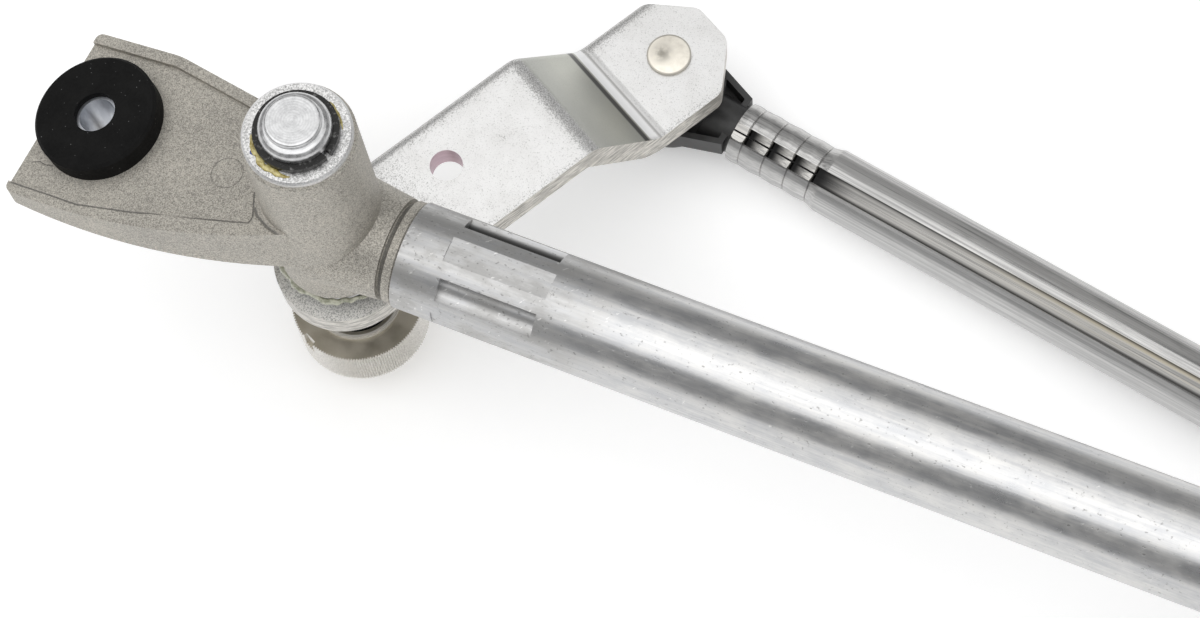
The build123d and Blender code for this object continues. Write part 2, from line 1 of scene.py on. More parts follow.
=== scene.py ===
"""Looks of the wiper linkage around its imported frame. Metres, in the frame's own axes."""

import json
import math
import random

import bpy
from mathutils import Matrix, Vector


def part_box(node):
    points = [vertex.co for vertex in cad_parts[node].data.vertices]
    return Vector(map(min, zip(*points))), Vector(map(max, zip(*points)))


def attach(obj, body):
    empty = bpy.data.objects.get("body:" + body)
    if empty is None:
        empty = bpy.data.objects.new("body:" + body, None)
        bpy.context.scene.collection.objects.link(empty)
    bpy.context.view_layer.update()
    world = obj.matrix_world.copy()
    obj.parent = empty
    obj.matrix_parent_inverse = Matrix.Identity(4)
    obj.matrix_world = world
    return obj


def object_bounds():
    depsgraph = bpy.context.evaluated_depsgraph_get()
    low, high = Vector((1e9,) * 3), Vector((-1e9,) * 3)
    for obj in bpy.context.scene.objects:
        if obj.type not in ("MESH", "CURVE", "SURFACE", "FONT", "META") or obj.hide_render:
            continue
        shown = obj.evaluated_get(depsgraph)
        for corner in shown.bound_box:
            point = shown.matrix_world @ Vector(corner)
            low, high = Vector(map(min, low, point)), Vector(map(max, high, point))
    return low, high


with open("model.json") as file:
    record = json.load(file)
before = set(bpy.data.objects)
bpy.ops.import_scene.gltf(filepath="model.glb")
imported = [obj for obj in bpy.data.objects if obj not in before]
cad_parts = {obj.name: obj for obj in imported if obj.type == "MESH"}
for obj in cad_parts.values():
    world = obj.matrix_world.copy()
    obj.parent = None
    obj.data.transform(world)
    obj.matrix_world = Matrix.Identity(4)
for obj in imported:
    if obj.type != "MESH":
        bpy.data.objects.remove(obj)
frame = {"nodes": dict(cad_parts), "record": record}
cad_low, cad_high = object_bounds()

MM = 0.001

# Camera, at the photograph's viewing angle
CAMERA_PLACE = Vector((137.99, -146.39, 483.96)) * MM
CAMERA_TURNS = (21.367, 3.136, 22.812)
CAMERA_LENS = 83.76
CAMERA_CLIP = (0.01, 50.0)
SENSOR_WIDTH = 36.0

# Studio
FLOOR_SIZE = 8.0
FLOOR_GAP = 0.5 * MM
FLOOR_COLOUR = (0.9, 0.9, 0.9, 1.0)
FLOOR_ROUGHNESS = 0.9
FLOOR_GLOW = 0.3
WORLD_STRENGTH = 0.33
SOFTBOXES = (
    ("wide_softbox", (0.05, -0.1, 1.25), (2.6, 1.95), 1.0),
    ("key_softbox", (0.05, -0.4, 1.22), (2.2, 0.9), 0.55),
)

# Usual range of a fractal noise
NOISE_LOW = 0.3
NOISE_HIGH = 0.7

# Rods: the groove's turn about the rod in degrees, then in millimetres its half width, its floor from
# the rod's axis between the crimp's ramps and on them, and the crimp's end from the rod's end
GROOVE_TURN = 24.5
GROOVE_HALF = 1.6
GROOVE_FLOOR = 4.9
GROOVE_HIGH = 5.75
CRIMP_END = 33.6

# Run past the crimp over which the groove floor's painted shade lightens, and over which it turns tan, in
# millimetres
FLOOR_BRIGHTENS = (0.5, 9.0)
FLOOR_TANS = (25.0, 60.0)

# Lever, in millimetres: its half width; the hub's dull reach, which is also painted lighter as painted
# light, the slope between the bends and the gauge hole, along the run from the pivot; the hole's reach
# across; the wear inwards from the edge
LEVER_HALF = 12.25
HUB_REACH = 14.0
SLOPE_START = 47.6
SLOPE_END = 61.0
GAUGE_START = 20.0
GAUGE_END = 30.0
GAUGE_REACH = 9.0
EDGE_WEAR = 4.2
EDGE_BARE = 0.8
# Slope's painted shade tone, also used for its draw marks, and its painted light tone; the gauge hole
# wall's tint
SLOPE_SHADE_AND_MARKS = (0.43, 0.435, 0.4, 1.0)
SLOPE_LIT = (0.53, 0.535, 0.48, 1.0)
GAUGE_TINT = (0.66, 0.47, 0.55, 1.0)

# Frame tube, in millimetres: its radius, the staked stretch from the pivot, how far below the surface the
# stakes take painted shade, and where the worn end stops being fully worn and ends
TUBE_RADIUS = 9.525
STAKES_START = 18.0
STAKES_END = 42.6
STAKE_SHADE = (0.45, 0.95)
WORN_FULL = 40.0
WORN_END = 60.0

# Housing's collar groove, in millimetres: along the tube from the pivot, and out from the tube's axis
COLLAR_GROOVE = (13.0, 13.5)
COLLAR_GROOVE_FLOOR = 9.5
COLLAR_GROOVE_MOUTH = 10.1

# Round marks, in millimetres from their centre: the ejector mark, a washer's rim, the painted highlight on
# a drum's lip, and a rivet head's edge of painted shade and its smudge
EJECTOR_RADIUS = 2.8
WASHER_RIM = (8.6, 8.95)
DRUM_LIP = (7.7, 8.05)
RIVET_EDGE = 4.1
SMUDGE_REACH = 3.4

# Grease smears: degrees between rings, fewest rings, points across, raggedness of width and height,
# the shares of its drift that a ring keeps and adds, and the tip and bluntness of the tapered ends
SMEAR_STEP = 4
SMEAR_RINGS = 12
SMEAR_POINTS = 7
RAGGED_WIDTH = 0.45
RAGGED_HEIGHT = 0.35
DRIFT_KEPT = 0.6
DRIFT_ADDED = 0.4
SMEAR_TIP = 0.02
SMEAR_BLUNTNESS = 0.6

# Casting marks on the near flange, and a line of painted shade at the boss's fillet crease, as plan points
# in millimetres
PANEL_LINE = (
    (-52.2, -15.5), (-45.8, -15.6), (-39.0, -15.8), (-28.7, -14.2),
    (-17.4, -11.5), (-8.5, -9.6), (-8.2, -8.4), (-10.0, -4.1),
)
CREASE_SHADE_LINE = ((-8.6, -6.8), (-7.3, -8.2), (-5.0, -9.5), (-2.4, -10.4))
CRACK_LINE = ((-50.9, -10.5), (-49.6, -10.0), (-48.4, -10.3), (-47.0, -10.1))


def box_centre(node):
    """Centre of a node's box at rest."""
    low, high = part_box(node)
    return (low + high) / 2


def mount_place(name):
    """Place of a mount in the record."""
    return next(mount["pos_m"] for mount in frame["record"]["mounts"] if mount["name"] == name)


NEAR_AXIS = box_centre("near_shaft")
FAR_AXIS = box_centre("far_shaft")
NEAR_STUD = box_centre("near_link_stud")
FAR_STUD = box_centre("far_link_stud")
DRIVE_STUD = box_centre("far_drive_stud")
CRANK_PIN = Vector(mount_place("crank_ball_seat"))
EJECTOR_MARK = NEAR_AXIS + Vector((-16.3, -2.1, 0)) * MM
RIVET_SMUDGE = Vector((-1.3, -0.3, 0)) * MM
TUBE_LEVEL = box_centre("frame_tube").z
TUBE_BEND = Vector((300, 0, 0)) * MM
WASHER_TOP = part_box("near_upper_washer")[1].z
THRUST_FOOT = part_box("near_thrust_washer")[0].z


class Shader:
    """Node tree of one material, with short calls for the nodes that the finishes share."""

    def __init__(self, name):
        self.material = bpy.data.materials.new(name)
        self.material.use_nodes = True
        self.tree = self.material.node_tree
        self.body = self.tree.nodes["Principled BSDF"]
        coordinates = self.tree.nodes.new("ShaderNodeTexCoord")
        self.place = self.scaled(coordinates.outputs["Object"], (1 / MM,) * 3)
        self.normal = coordinates.outputs["Normal"]

    def put(self, kind, **sockets):
        """Adds a node, linking or setting its inputs by name or by number."""
        node = self.tree.nodes.new(kind)
        for key, value in sockets.items():
            self.feed(node.inputs[key], value)
        return node

    def feed(self, socket, value):
        """Links an output to a socket, or sets the socket's own value."""
        if isinstance(value, bpy.types.NodeSocket):
            self.tree.links.new(value, socket)
        else:
            socket.default_value = value

    def scaled(self, vector, scale, turn=0.0, start=(0, 0, 0)):
        """The vector moved so that start is its origin, turned about Z and scaled."""
        moved = self.tree.nodes.new("ShaderNodeVectorMath")
        moved.operation = "SUBTRACT"
        self.feed(moved.inputs[0], vector)
        moved.inputs[1].default_value = start
        turned = self.put("ShaderNodeVectorRotate", Vector=moved.outputs[0])
        turned.rotation_type = "Z_AXIS"
        turned.inputs["Angle"].default_value = turn
        stretched = self.tree.nodes.new("ShaderNodeVectorMath")
        stretched.operation = "MULTIPLY"
        self.feed(stretched.inputs[0], turned.outputs[0])
        stretched.inputs[1].default_value = scale
        return stretched.outputs[0]

    def noise(self, vector, size=1.0, detail=3.0, roughness=0.55):
        """Fractal noise whose features are about size across, from 0 to 1."""
        node = self.put(
            "ShaderNodeTexNoise", Vector=vector, Scale=1.0 / size, Detail=detail, Roughness=roughness
        )
        return node.outputs[0]

    def cells(self, vector, size):
        """Distance to the nearest of scattered points, in cells of about size."""
        return self.put("ShaderNodeTexVoronoi", Vector=vector, Scale=1.0 / size).outputs["Distance"]

    def step(self, value, low, high, to_low=0.0, to_high=1.0):
        """The value mapped from low..high to to_low..to_high, smooth and held at the ends."""
        node = self.tree.nodes.new("ShaderNodeMapRange")
        node.interpolation_type = "SMOOTHSTEP"
        for socket, number in zip(node.inputs, (value, low, high, to_low, to_high)):
            self.feed(socket, number)
        return node.outputs[0]

    def spread(self, noise, to_low=0.0, to_high=1.0):
        """A noise's usual range mapped to to_low..to_high."""
        return self.step(noise, NOISE_LOW, NOISE_HIGH, to_low, to_high)

    def sum(self, operation, first, second=0.0):
        """Arithmetic on two values."""
        node = self.tree.nodes.new("ShaderNodeMath")
        node.operation = operation
        self.feed(node.inputs[0], first)
        self.feed(node.inputs[1], second)
        return node.outputs[0]

    def blend(self, share, first, second):
        """Colour between first and second."""
        node = self.tree.nodes.new("ShaderNodeMix")
        node.data_type = "RGBA"
        for name, value in ((0, share), (6, first), (7, second)):
            self.feed(node.inputs[name], value)
        return node.outputs[2]

    def axis(self, vector, name):
        """One component of a vector."""
        return self.put("ShaderNodeSeparateXYZ", Vector=vector).outputs[name]

    def distance(self, centre):
        """Distance in plan from a point of the frame, in millimetres."""
        flat = self.tree.nodes.new("ShaderNodeVectorMath")
        flat.operation = "MULTIPLY"
        self.feed(flat.inputs[0], self.place)
        flat.inputs[1].default_value = (1, 1, 0)
        gap = self.tree.nodes.new("ShaderNodeVectorMath")
        gap.operation = "DISTANCE"
        self.feed(gap.inputs[0], flat.outputs[0])
        gap.inputs[1].default_value = (centre.x / MM, centre.y / MM, 0)
        return gap.outputs["Value"]

    def rod_frame(self, start, end, level):
        """Distances along a rod, across its groove and out through the groove, in millimetres."""
        run = end - start
        origin = Vector((start.x, start.y, level)) / MM
        local = self.scaled(self.place, (1, 1, 1), -math.atan2(run.y, run.x), origin)
        along = self.axis(local, "X")
        beside = self.axis(local, "Y")
        height = self.axis(local, "Z")
        sine = math.sin(math.radians(GROOVE_TURN))
        cosine = math.cos(math.radians(GROOVE_TURN))
        across = self.sum("ADD", self.sum("MULTIPLY", beside, cosine), self.sum("MULTIPLY", height, sine))
        out = self.sum("SUBTRACT", self.sum("MULTIPLY", height, cosine), self.sum("MULTIPLY", beside, sine))
        return along, across, out

    def plan_frame(self, start, end):
        """Distances along and across the plan line from start to end, in millimetres."""
        run = end - start
        local = self.scaled(self.place, (1, 1, 1), -math.atan2(run.y, run.x), start / MM)
        return self.axis(local, "X"), self.axis(local, "Y")

    def tube_frame(self, start):
        """Distances along the frame tube from a pivot and out from the tube's axis, in millimetres."""
        along, across = self.plan_frame(start, TUBE_BEND)
        rise = self.sum("SUBTRACT", self.axis(self.place, "Z"), TUBE_LEVEL / MM)
        squares = self.sum("ADD", self.sum("MULTIPLY", across, across), self.sum("MULTIPLY", rise, rise))
        return along, self.sum("SQRT", squares)

    def stroke(self, points, width):
        """Share of a thin line through plan points in millimetres."""
        marks = []
        for start, end in zip(points, points[1:]):
            first = Vector((*start, 0)) * MM
            last = Vector((*end, 0)) * MM
            half = (last - first).length / MM / 2
            along, across = self.plan_frame(first, last)
            past = self.sum("SUBTRACT", self.sum("ABSOLUTE", self.sum("SUBTRACT", along, half)), half)
            gap = self.sum("MAXIMUM", past, self.sum("ABSOLUTE", across))
            marks.append(self.step(gap, width, 0.3 * width))
        return self.most(marks)

    def most(self, values):
        """The largest of several values."""
        top = values[0]
        for value in values[1:]:
            top = self.sum("MAXIMUM", top, value)
        return top

    def band(self, value, start, end, soft):
        """Share that is 1 from start to end and fades to 0 over soft on both sides."""
        rise = self.step(value, start - soft, start)
        return self.sum("MULTIPLY", rise, self.step(value, end + soft, end))

    def ring_mark(self, centre, radius, width):
        """Share of a thin ring about a plan point, in millimetres."""
        gap = self.sum("ABSOLUTE", self.sum("SUBTRACT", self.distance(centre), radius))
        return self.step(gap, width, 0.2 * width)

    def finish(self, colour, roughness, metallic, height, depth, strength=0.6, **constants):
        """Feeds the surface: colour, roughness and a bump of the given depth in millimetres."""
        self.feed(self.body.inputs["Base Color"], colour)
        self.feed(self.body.inputs["Roughness"], roughness)
        self.feed(self.body.inputs["Metallic"], metallic)
        for name, value in constants.items():
            self.body.inputs[name.replace("_", " ")].default_value = value
        bump = self.put("ShaderNodeBump", Height=height, Strength=strength, Distance=depth * MM)
        self.feed(self.body.inputs["Normal"], bump.outputs[0])
        return self.material


def grey(level, warmth=0.0):
    """Grey of a linear level, warmer above 0 and cooler below."""
    return (level * (1 + 0.5 * warmth), level, level * (1 - warmth), 1.0)


def cast_aluminium():
    """Bead-blasted casting: fine even grain, marks left by the die, and painted shade along the boss's
    crease and in the collar's groove.
    """
    s = Shader("cast_aluminium")
    grain = s.noise(s.place, 0.22, 2.0, 0.7)
    coarse = s.noise(s.place, 0.6, 2.0, 0.6)
    blotch = s.noise(s.place, 12.0, 3.0)
    pores = s.noise(s.place, 0.6, 3.0, 0.7)
    tone = s.sum("ADD", s.sum("MULTIPLY", grain, 0.65), s.sum("MULTIPLY", coarse, 0.22))
    tone = s.sum("ADD", tone, s.sum("MULTIPLY", blotch, 0.13))
    colour = s.blend(s.step(tone, 0.36, 0.64), grey(0.22, 0.11), grey(0.58, 0.11))
    colour = s.blend(s.step(pores, 0.65, 0.75, 0.0, 0.7), colour, grey(0.12, 0.1))
    marks = s.most([
        s.sum("MULTIPLY", s.ring_mark(EJECTOR_MARK, EJECTOR_RADIUS, 0.16), 0.6),
        s.stroke(PANEL_LINE, 0.2),
        # Painted shade: this stroke darkens the crease along the boss's fillet.
        s.stroke(CREASE_SHADE_LINE, 0.35),
        s.stroke(CRACK_LINE, 0.12),
    ])
    marks = s.sum("MULTIPLY", marks, s.step(s.axis(s.normal, "Z"), 0.5, 0.9))
    colour = s.blend(s.sum("MULTIPLY", marks, 0.7), colour, grey(0.1, 0.05))
    # Painted shade: the collar's groove is darkened where shade falls in it.
    for axis in (NEAR_AXIS, FAR_AXIS):
        along, from_axis = s.tube_frame(axis)
        within = s.step(from_axis, COLLAR_GROOVE_MOUTH, COLLAR_GROOVE_FLOOR)
        groove = s.sum("MULTIPLY", s.band(along, *COLLAR_GROOVE, 0.25), within)
        colour = s.blend(s.sum("MULTIPLY", groove, 0.75), colour, grey(0.07, 0.1))
    roughness = s.spread(blotch, 0.48, 0.6)
    height = s.sum("ADD", grain, s.sum("MULTIPLY", pores, 0.6))
    height = s.sum("SUBTRACT", height, s.sum("MULTIPLY", marks, 1.4))
    return s.finish(colour, roughness, 0.5, height, 0.07, 0.8)


def washer_zinc():
    """Clear zinc on washers: coarse bright speckle, with a brighter rim."""
    s = Shader("washer_zinc")
    spangle = s.noise(s.place, 0.3, 4.0, 0.75)
    cloud = s.noise(s.place, 2.5, 3.0)
    colour = s.blend(s.step(spangle, 0.38, 0.6), grey(0.3, 0.01), grey(0.84, 0.01))
    colour = s.blend(s.step(cloud, 0.45, 0.75, 0.0, 0.35), colour, grey(0.4, 0.01))
    rims = [s.step(s.distance(axis), *WASHER_RIM) for axis in (NEAR_AXIS, FAR_AXIS)]
    rim = s.sum("MINIMUM", rims[0], rims[1])
    colour = s.blend(s.sum("MULTIPLY", rim, 0.7), colour, grey(0.85, 0.0))
    roughness = s.spread(spangle, 0.3, 0.48)
    return s.finish(colour, roughness, 1.0, spangle, 0.05, 0.6)


def sleeve_zinc():
    """Clear zinc inside the grommets' sleeves: bluish, softly clouded."""
    s = Shader("sleeve_zinc")
    cloud = s.noise(s.scaled(s.place, (1, 1, 0.2)), 1.6, 3.0, 0.6)
    fine = s.noise(s.place, 0.3, 3.0, 0.7)
    colour = s.blend(s.step(cloud, 0.35, 0.65), grey(0.46, -0.08), grey(0.6, -0.05))
    roughness = s.spread(fine, 0.3, 0.42)
    return s.finish(colour, roughness, 1.0, fine, 0.02, 0.4)


def slope_colour(s, colour, run, reach):
    """Adds the slope between a lever's bends: smooth, with painted shade that lightens down it, a line of
    painted shade and a painted highlight at its foot, and a thin grey line past them.
    """
    slope = s.band(run, SLOPE_START + 1.0, SLOPE_END - 1.6, 0.8)
    draw = s.noise(s.scaled(s.place, (0.12, 0.12, 0.12)), 0.9, 3.0, 0.5)
    # Painted shade: the slope is darkest at its top and lightens down it, with draw marks in the dark tone.
    smooth = s.blend(s.step(run, SLOPE_START + 1.0, SLOPE_START + 7.0), SLOPE_SHADE_AND_MARKS, SLOPE_LIT)
    smooth = s.blend(s.step(draw, 0.4, 0.7, 0.0, 0.35), smooth, SLOPE_SHADE_AND_MARKS)
    colour = s.blend(s.sum("MULTIPLY", slope, 0.9), colour, smooth)
    # Painted shade: a dark line at the concave bend.
    colour = s.blend(s.band(run, SLOPE_END - 2.5, SLOPE_END - 1.9, 0.4), colour, grey(0.13, 0.03))
    # Painted highlight: a bright strip along the bend's fillet.
    strip = s.band(run, SLOPE_END - 1.2, SLOPE_END + 0.3, 0.25)
    painted_highlight = s.sum("MULTIPLY", strip, s.step(reach, LEVER_HALF - 0.05, LEVER_HALF - 1.05))
    colour = s.blend(painted_highlight, colour, grey(0.95, 0.0))
    return s.blend(s.band(run, SLOPE_END + 0.8, SLOPE_END + 0.9, 0.3), colour, grey(0.45, 0.02))


def side_colour(s, colour, upright, along, reach):
    """Adds a lever's streaked sides and its gauge hole's tinted wall."""
    streak = s.noise(s.scaled(s.place, (0.3, 0.3, 2.0)), 0.8, 4.0, 0.65)
    side = s.blend(s.step(streak, 0.35, 0.65), grey(0.3, 0.09), grey(0.72, 0.08))
    colour = s.blend(upright, colour, side)
    bore = s.sum("MULTIPLY", upright, s.step(reach, GAUGE_REACH, GAUGE_REACH - 1.0))
    bore = s.sum("MULTIPLY", bore, s.band(along, GAUGE_START, GAUGE_END, 1.0))
    return s.blend(s.sum("MULTIPLY", bore, 0.8), colour, GAUGE_TINT)


def lever_zinc(name, start, end):
    """Clear zinc on a lever: speckled by its edges, bends and hub, which are duller too, with painted light
    on the hub and painted shade and highlight on the slope.
    """
    s = Shader(name)
    along, across = s.plan_frame(start, end)
    reach = s.sum("ABSOLUTE", across)
    run = s.sum("ABSOLUTE", along)
    fine = s.noise(s.place, 0.22, 3.0, 0.8)
    cloud = s.noise(s.place, 5.0, 3.0)
    edge = s.step(across, LEVER_HALF - EDGE_WEAR, LEVER_HALF - EDGE_BARE)
    far_edge = s.step(across, 1.6 - LEVER_HALF, 0.4 - LEVER_HALF, 0.0, 0.5)
    brink = s.band(run, SLOPE_START - 1.0, SLOPE_START + 0.4, 2.6)
    hub = s.step(run, 25.0, 11.0, 0.0, 0.75)
    worn = s.most([edge, far_edge, brink, hub, s.step(cloud, 0.55, 0.8, 0.0, 0.4)])
    speckle = s.step(s.sum("ADD", fine, s.sum("MULTIPLY", worn, 0.13)), 0.58, 0.68)
    plain = s.blend(s.step(cloud, 0.35, 0.7), grey(0.76, 0.01), grey(0.71, 0.015))
    # Painted light: the hub is painted lighter where the boss shades it.
    hub_lit_and_dull = s.step(s.distance(start), HUB_REACH, HUB_REACH - 2.0)
    plain = s.blend(hub_lit_and_dull, plain, grey(0.88, 0.03))
    colour = s.blend(s.sum("MULTIPLY", speckle, 0.8), plain, grey(0.24, 0.03))
    colour = slope_colour(s, colour, run, reach)
    upright = s.step(s.sum("ABSOLUTE", s.axis(s.normal, "Z")), 0.4, 0.2)
    colour = side_colour(s, colour, upright, along, reach)
    foot = s.band(run, SLOPE_END - 1.2, SLOPE_END + 1.4, 0.4)
    dull = s.most([
        s.sum("MULTIPLY", hub_lit_and_dull, 0.85),
        s.sum("MULTIPLY", foot, 0.9),
        s.sum("MULTIPLY", s.most([upright, edge, brink]), 0.45),
    ])
    metallic = s.sum("SUBTRACT", 1.0, dull)
    return s.finish(colour, s.spread(fine, 0.3, 0.46), metallic, fine, 0.035, 0.55)


def galvanised_tube():
    """Galvanised drawn tube: draw marks, cloudy zinc, dents, nicks, pits, a worn near end and painted shade
    in the stakes.
    """
    s = Shader("galvanised_tube")
    along, from_axis = s.tube_frame(NEAR_AXIS)
    crimped = s.band(along, STAKES_START, STAKES_END, 0.6)
    below = s.sum("SUBTRACT", TUBE_RADIUS, from_axis)
    painted_stake_shade = s.sum("MULTIPLY", crimped, s.step(below, *STAKE_SHADE))
    lines = s.noise(s.scaled(s.place, (0.03, 1.3, 1.3)), 0.8, 4.0, 0.65)
    cloud = s.noise(s.scaled(s.place, (0.45, 1, 1)), 3.4, 5.0, 0.65)
    dents = s.noise(s.scaled(s.place, (0.5, 1, 1)), 3.2, 2.0, 0.5)
    worn = s.step(along, WORN_END, WORN_FULL)
    nick = s.noise(s.scaled(s.place, (1.2, 0.35, 0.35), math.radians(50)), 0.7, 3.0, 0.6)
    nick = s.step(s.sum("ADD", nick, s.sum("MULTIPLY", worn, 0.035)), 0.68, 0.76)
    pits = s.noise(s.scaled(s.place, (0.8, 1, 1)), 0.6, 3.0, 0.6)
    pits = s.step(s.sum("ADD", pits, s.sum("MULTIPLY", worn, 0.02)), 0.62, 0.72)
    tone = s.sum("ADD", s.sum("MULTIPLY", lines, 0.4), s.sum("MULTIPLY", cloud, 0.6))
    colour = s.blend(s.step(tone, 0.36, 0.64), grey(0.49, -0.02), grey(0.66, 0.02))
    colour = s.blend(s.sum("MULTIPLY", worn, s.step(cloud, 0.4, 0.62, 0.15, 0.7)), colour, grey(0.36, 0.02))
    colour = s.blend(s.sum("MULTIPLY", nick, 0.6), colour, grey(0.88, 0.02))
    colour = s.blend(s.sum("MULTIPLY", pits, 0.6), colour, grey(0.2, 0.03))
    # Painted shade: the stakes are darkened below the surface, most on walls facing +Y.
    shade = s.step(s.axis(s.normal, "Y"), 0.0, 0.5, 0.05, 0.95)
    colour = s.blend(s.sum("MULTIPLY", painted_stake_shade, shade), colour, grey(0.06, 0.02))
    roughness = s.sum("ADD", s.spread(cloud, 0.27, 0.38), s.sum("MULTIPLY", worn, 0.1))
    height = s.sum("ADD", s.sum("MULTIPLY", lines, 0.5), s.sum("MULTIPLY", nick, 0.5))
    height = s.sum("SUBTRACT", height, s.sum("MULTIPLY", pits, 0.7))
    height = s.sum("ADD", height, s.sum("MULTIPLY", dents, 0.6))
    return s.finish(colour, roughness, 1.0, height, 0.05, 0.45)


def groove_colour(s, from_end, reach, out, wide, fine):
    """Colour in a rod's groove: black painted shade between the crimp's ramps, streaked on them, past the
    crimp a floor whose painted shade lightens but stays darker by the walls, tan along the run.
    """
    raised = s.step(out, GROOVE_FLOOR + 0.1, GROOVE_HIGH - 0.05)
    past_crimp = s.sum("SUBTRACT", from_end, CRIMP_END)
    # Painted shade: the floor is darker by the groove's walls.
    middle = s.step(reach, GROOVE_HALF - 0.1, GROOVE_HALF - 0.8, 0.15, 1.0)
    beyond = s.sum("MULTIPLY", s.step(past_crimp, *FLOOR_BRIGHTENS), s.sum("MULTIPLY", middle, 0.55))
    tan = s.sum("MULTIPLY", s.step(past_crimp, *FLOOR_TANS), s.step(wide, 0.4, 0.55))
    streaked = s.blend(s.step(fine, 0.35, 0.65), grey(0.3, 0.03), grey(0.5, 0.05))
    streaked = s.blend(tan, streaked, grey(0.52, 0.2))
    # Painted shade: black where the groove's floor lies below the ramps.
    return s.blend(s.sum("MAXIMUM", raised, beyond), grey(0.012, 0.0), streaked)


def rolled_steel(name, node, start, end):
    """Rolled strip: streaked along the rod, black with painted shade in its groove, and duller and painted
    lighter on the groove's lower side.
    """
    s = Shader(name)
    low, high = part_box(node)
    along, across, out = s.rod_frame(start, end, (low.z + high.z) / 2)
    length = (end - start).length / MM
    from_end = s.sum("MINIMUM", along, s.sum("SUBTRACT", length, along))
    turn = -math.atan2(end.y - start.y, end.x - start.x)
    streaks = s.scaled(s.place, (0.012, 1, 1), turn, start / MM)
    wide = s.noise(streaks, 2.2, 4.0, 0.62)
    fine = s.noise(streaks, 0.35, 3.0, 0.6)
    patches = s.noise(s.scaled(s.place, (0.3, 1, 1), turn, start / MM), 2.2, 4.0, 0.6)
    tone = s.sum("ADD", s.sum("MULTIPLY", wide, 0.55), s.sum("MULTIPLY", fine, 0.45))
    colour = s.blend(s.step(tone, 0.38, 0.62), grey(0.3, 0.01), grey(0.66, 0.02))
    colour = s.blend(s.step(patches, 0.5, 0.75, 0.0, 0.4), colour, grey(0.3, 0.02))
    lines = s.noise(streaks, 0.22, 2.0, 0.5)
    colour = s.blend(s.step(lines, 0.6, 0.7, 0.0, 0.6), colour, grey(0.16, 0.02))
    reach = s.sum("ABSOLUTE", across)
    inside = s.sum("MULTIPLY", s.step(reach, GROOVE_HALF + 0.05, GROOVE_HALF - 0.02), s.step(out, 3.0, 3.5))
    # Painted light: the groove's lower side is painted lighter, and is rougher too.
    beside = s.step(across, -GROOVE_HALF - 0.1, -GROOVE_HALF - 0.5)
    colour = s.blend(s.sum("MULTIPLY", beside, 0.35), colour, grey(0.7, 0.0))
    colour = s.blend(inside, colour, groove_colour(s, from_end, reach, out, wide, fine))
    roughness = s.sum("ADD", s.step(wide, 0.35, 0.65, 0.22, 0.36), s.sum("MULTIPLY", beside, 0.14))
    return s.finish(colour, roughness, 1.0, fine, 0.03, 0.4)


def turned_steel(name, centre):
    """Turned end of a shaft, with concentric tool marks about its axis."""
    s = Shader(name)
    radius = s.distance(centre)
    wobble = s.noise(s.place, 1.6, 2.0)
    phase = s.sum("MULTIPLY", s.sum("ADD", radius, s.sum("MULTIPLY", wobble, 0.25)), 14.0)
    marks = s.step(s.sum("SINE", phase), -1.0, 1.0)
    cloud = s.noise(s.place, 1.1, 4.0, 0.65)
    colour = s.blend(s.spread(cloud), grey(0.5, -0.01), grey(0.74, -0.005))
    colour = s.blend(s.sum("MULTIPLY", marks, 0.25), colour, grey(0.42, 0.0))
    roughness = s.spread(cloud, 0.26, 0.4)
    height = s.sum("ADD", marks, s.sum("MULTIPLY", cloud, 0.5))
    return s.finish(colour, roughness, 1.0, height, 0.02, 0.5)


def stud_steel(centres):
    """Cold-headed stud: warm beige, a smudge near the middle and a dark rim of painted shade on each rivet
    head.
    """
    s = Shader("stud_steel")
    cloud = s.noise(s.place, 1.8, 4.0, 0.6)
    colour = s.blend(s.spread(cloud), grey(0.74, 0.12), grey(0.92, 0.1))
    for centre in centres:
        near = s.step(s.distance(centre + RIVET_SMUDGE), SMUDGE_REACH, 0.0)
        smudge = s.sum("MULTIPLY", near, s.step(cloud, 0.3, 0.65, 0.15, 0.8))
        colour = s.blend(smudge, colour, grey(0.2, 0.14))
        # Painted shade: a dark ring where the head's flat top rounds off.
        edge = s.sum("MULTIPLY", s.ring_mark(centre, RIVET_EDGE, 0.35), 0.7)
        colour = s.blend(edge, colour, grey(0.2, 0.12))
    grain = s.noise(s.place, 0.3, 3.0, 0.7)
    roughness = s.spread(cloud, 0.34, 0.5)
    return s.finish(colour, roughness, 1.0, grain, 0.03, 0.5)


def die_cast_zinc():
    """Die-cast drum: brownish faces, partly their own tone and partly painted shade, with a painted
    highlight on the lip, and pale pinkish flanks.
    """
    s = Shader("die_cast_zinc")
    up = s.sum("ABSOLUTE", s.axis(s.normal, "Z"))
    face = s.step(up, 0.7, 0.95)
    grain = s.noise(s.place, 0.4, 3.0, 0.65)
    cloud = s.noise(s.place, 4.0, 3.0)
    flank = s.blend(s.spread(grain), grey(0.64, 0.05), grey(0.84, 0.04))
    # The faces' brown is partly their own tone and partly painted shade under the lever.
    top = s.blend(s.spread(cloud), grey(0.4, 0.19), grey(0.5, 0.16))
    # Painted highlight: a bright ring on the lip's top.
    lip_highlights = [s.band(s.distance(axis), *DRUM_LIP, 0.15) for axis in (NEAR_AXIS, FAR_AXIS)]
    lip = s.sum("MULTIPLY", s.most(lip_highlights), 0.6)
    top = s.blend(lip, top, grey(0.9, 0.05))
    colour = s.blend(face, flank, top)
    roughness = s.spread(cloud, 0.36, 0.5)
    return s.finish(colour, roughness, s.sum("SUBTRACT", 0.9, lip), grain, 0.02, 0.5)


def sintered_bronze():
    """Oil-filled sintered bronze with open pores."""
    s = Shader("sintered_bronze")
    pores = s.noise(s.place, 0.25, 3.0, 0.7)
    colour = s.blend(s.step(pores, 0.35, 0.65), (0.16, 0.09, 0.035, 1), (0.42, 0.26, 0.12, 1))
    roughness = s.spread(pores, 0.35, 0.55)
    return s.finish(colour, roughness, 1.0, pores, 0.03)


